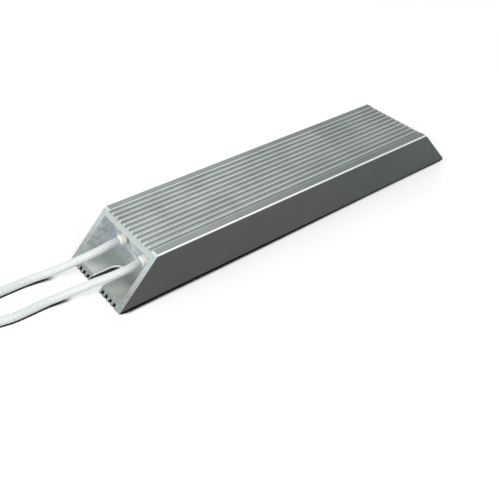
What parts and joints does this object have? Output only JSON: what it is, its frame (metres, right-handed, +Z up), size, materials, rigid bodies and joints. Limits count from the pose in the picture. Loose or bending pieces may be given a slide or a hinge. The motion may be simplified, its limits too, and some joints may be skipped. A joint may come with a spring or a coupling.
{
  "type": "aluminium housed power resistor",
  "caption": "Wirewound power resistor in a grooved aluminium case with slanted ends, open base slots for screws and braided leads out of ceramic beads at one end.",
  "frame": {"origin": "middle of the case's base, on the surface that it stands on", "axes": "+X along the case, away from the end with the leads; +Z up, from the grooved base to the grooved top; +Y to the left, seen from the lead end"},
  "size_m": [0.2935, 0.0563, 0.02],
  "materials": {
    "case": "extruded and lightly brushed, sawn ends brighter",
    "end_plate": "mottled mill finish",
    "mica": "flaky mica sheet",
    "cement": "set cement filling",
    "bead": "cream ceramic, unglazed",
    "core": "white ceramic tube",
    "winding": "resistance wire under a cement coat",
    "cap": "nickel-plated pressed steel",
    "link": "stamped strap",
    "ferrule": "tinned tube",
    "conductor": "bare copper conductor",
    "sleeve": "braided glass-fibre sleeve"
  },
  "bodies": {
    "root": {"housing": "case", "front_end_plate": "end_plate", "rear_end_plate": "end_plate", "mica_liner": "mica", "cement_fill": "cement", "bead_left": "bead", "bead_right": "bead", "core_left": "core", "core_right": "core", "winding_left": "winding", "winding_right": "winding", "front_cap_left": "cap", "front_cap_right": "cap", "rear_cap_left": "cap", "rear_cap_right": "cap", "link_strap": "link", "ferrule_left": "ferrule", "ferrule_right": "ferrule", "conductor_left": "conductor", "conductor_right": "conductor", "lead_left": "sleeve", "lead_right": "sleeve", "lead_coil": "sleeve"}
  },
  "joints": []
}
